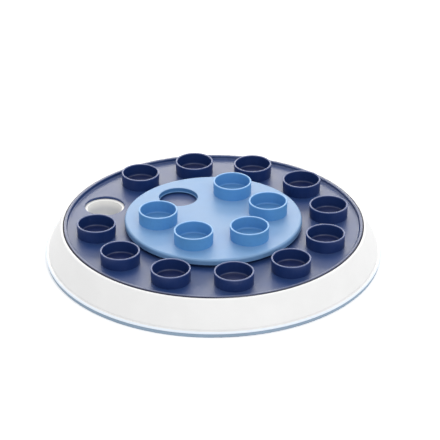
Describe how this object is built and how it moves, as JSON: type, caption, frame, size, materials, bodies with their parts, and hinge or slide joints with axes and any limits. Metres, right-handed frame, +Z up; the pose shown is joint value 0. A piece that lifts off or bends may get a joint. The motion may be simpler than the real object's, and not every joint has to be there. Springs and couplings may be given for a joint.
{
  "type": "dog puzzle feeder toy",
  "caption": "Round treat puzzle: a lower and an upper turntable carry open cups and turn over treat wells in a low base with sloping sides.",
  "frame": {"origin": "on the floor, under the middle of the board, on the axis that both turntables turn about", "axes": "+Z up along the turning axis; +X and +Y level, with the lower turntable's open hole on the -X side and the first cup 9.65 degrees round from +X"},
  "size_m": [0.2816, 0.2816, 0.0448],
  "materials": {
    "white_plastic": "satin moulded white plastic",
    "navy_plastic": "satin moulded navy plastic",
    "light_blue_plastic": "satin moulded light blue plastic",
    "foot_rubber": "soft matt light blue anti-slip rubber",
    "glide_plastic": "natural low friction plastic",
    "zinc_steel": "bright zinc plate"
  },
  "bodies": {
    "base": {"base_housing": "white_plastic", "treat_tray": "white_plastic", "foot_ring": "foot_rubber", "tray_screws": "zinc_steel", "lower_glide_washer": "glide_plastic", "upper_glide_washer": "glide_plastic", "treat_bowl_01": "white_plastic", "treat_bowl_02": "white_plastic", "treat_bowl_03": "white_plastic", "treat_bowl_04": "white_plastic", "treat_bowl_05": "white_plastic", "treat_bowl_06": "white_plastic", "treat_bowl_07": "white_plastic", "treat_bowl_08": "white_plastic", "treat_bowl_09": "white_plastic", "treat_bowl_10": "white_plastic", "treat_bowl_11": "white_plastic", "treat_bowl_12": "white_plastic"},
    "lower_disc": {"lower_turntable": "navy_plastic", "centre_treat_tray": "navy_plastic", "lower_cup_01": "navy_plastic", "lower_cup_02": "navy_plastic", "lower_cup_03": "navy_plastic", "lower_cup_04": "navy_plastic", "lower_cup_05": "navy_plastic", "lower_cup_06": "navy_plastic", "lower_cup_07": "navy_plastic", "lower_cup_08": "navy_plastic", "lower_cup_09": "navy_plastic", "lower_cup_10": "navy_plastic", "lower_cup_11": "navy_plastic"},
    "upper_disc": {"upper_turntable": "light_blue_plastic", "retaining_washer": "zinc_steel", "pivot_screw": "zinc_steel", "upper_cup_01": "light_blue_plastic", "upper_cup_02": "light_blue_plastic", "upper_cup_03": "light_blue_plastic", "upper_cup_04": "light_blue_plastic", "upper_cup_05": "light_blue_plastic"}
  },
  "joints": [
    {"name": "lower_turn", "type": "hinge", "parent": "base", "child": "lower_disc", "pos_m": [0, 0, 0.0249], "axis": [0, 0, 1], "continuous": true},
    {"name": "upper_turn", "type": "hinge", "parent": "lower_disc", "child": "upper_disc", "pos_m": [0, 0, 0.0325], "axis": [0, 0, 1], "continuous": true}
  ]
}
